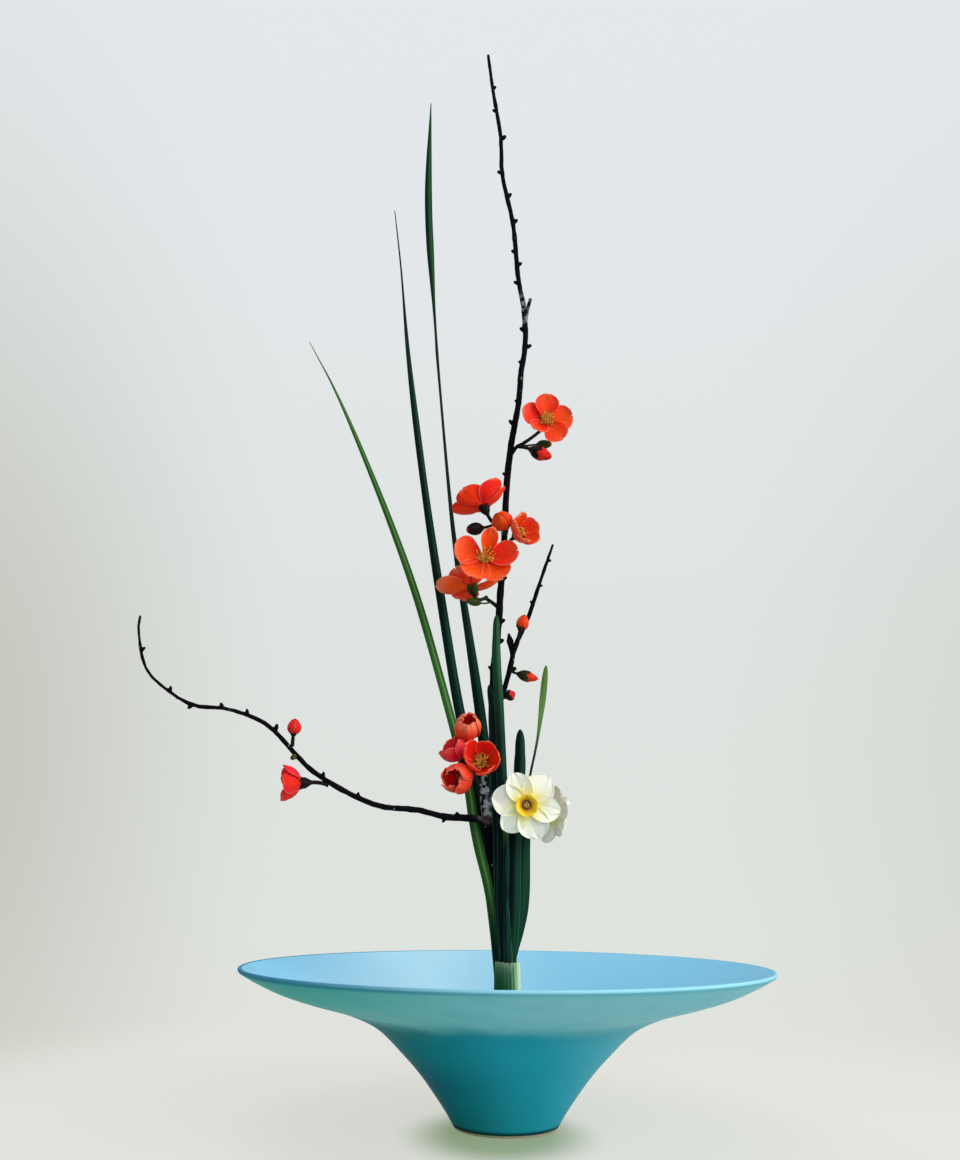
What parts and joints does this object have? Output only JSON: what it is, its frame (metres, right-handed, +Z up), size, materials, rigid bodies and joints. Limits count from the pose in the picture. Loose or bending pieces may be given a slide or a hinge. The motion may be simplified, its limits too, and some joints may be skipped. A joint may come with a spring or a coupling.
{
  "type": "ikebana arrangement",
  "caption": "Ikebana arrangement of flowering quince, narcissus and sword-shaped leaves in a pin holder on a wide pedestal bowl.",
  "frame": {"origin": "centre of the bowl's flat foot, on the surface the bowl stands on", "axes": "+Z up, -Y towards the front of the arrangement, +X to the right seen from the front"},
  "size_m": [0.417, 0.34, 0.8081],
  "materials": {
    "glaze": "satin",
    "pin_holder": "satin",
    "bark": "matte",
    "sword_leaf": "satin",
    "narcissus_leaf": "satin",
    "leaf_sheath": "satin",
    "calyx": "matte",
    "quince_petal": "satin",
    "stamen": "matte",
    "tepal": "satin",
    "corona": "satin",
    "papery_bract": "matte"
  },
  "bodies": {
    "root": {"bowl": "glaze", "kenzan": "pin_holder", "quince_branch_tall": "bark", "quince_branch_low": "bark", "sword_leaf_left": "sword_leaf", "sword_leaf_middle": "sword_leaf", "sword_leaf_tall": "sword_leaf", "narcissus_sheath": "leaf_sheath", "narcissus_leaf_front": "narcissus_leaf", "narcissus_leaf_left": "narcissus_leaf", "narcissus_leaf_short": "narcissus_leaf", "narcissus_leaf_right": "narcissus_leaf", "narcissus_scape": "narcissus_leaf", "narcissus_spathe": "papery_bract", "narcissus_front_petals": "tepal", "narcissus_front_corona": "corona", "narcissus_front_stamens": "stamen", "narcissus_back_petals": "tepal", "narcissus_back_corona": "corona", "narcissus_back_stamens": "stamen", "quince_top_calyx": "calyx", "quince_top_petals": "quince_petal", "quince_top_stamens": "stamen", "quince_fan_calyx": "calyx", "quince_fan_petals": "quince_petal", "quince_fan_stamens": "stamen", "quince_small_cup_calyx": "calyx", "quince_small_cup_petals": "quince_petal", "quince_small_cup_stamens": "stamen", "quince_open_calyx": "calyx", "quince_open_petals": "quince_petal", "quince_open_stamens": "stamen", "quince_lower_calyx": "calyx", "quince_lower_petals": "quince_petal", "quince_lower_stamens": "stamen", "quince_crown_calyx": "calyx", "quince_crown_petals": "quince_petal", "quince_crown_stamens": "stamen", "quince_face_calyx": "calyx", "quince_face_petals": "quince_petal", "quince_face_stamens": "stamen", "quince_back_calyx": "calyx", "quince_back_petals": "quince_petal", "quince_back_stamens": "stamen", "quince_lower_cup_calyx": "calyx", "quince_lower_cup_petals": "quince_petal", "quince_lower_cup_stamens": "stamen", "quince_arm_calyx": "calyx", "quince_arm_petals": "quince_petal", "quince_arm_stamens": "stamen", "quince_bud_half_open": "quince_petal", "quince_bud_top_orange": "quince_petal", "quince_bud_top_green": "quince_petal", "quince_bud_fan_brown": "quince_petal", "quince_bud_lower_green": "quince_petal", "quince_bud_twig_orange": "quince_petal", "quince_bud_twig_stalk": "quince_petal", "quince_bud_twig_low": "quince_petal", "quince_bud_arm_red": "quince_petal", "quince_bud_arm_green": "quince_petal"}
  },
  "joints": []
}
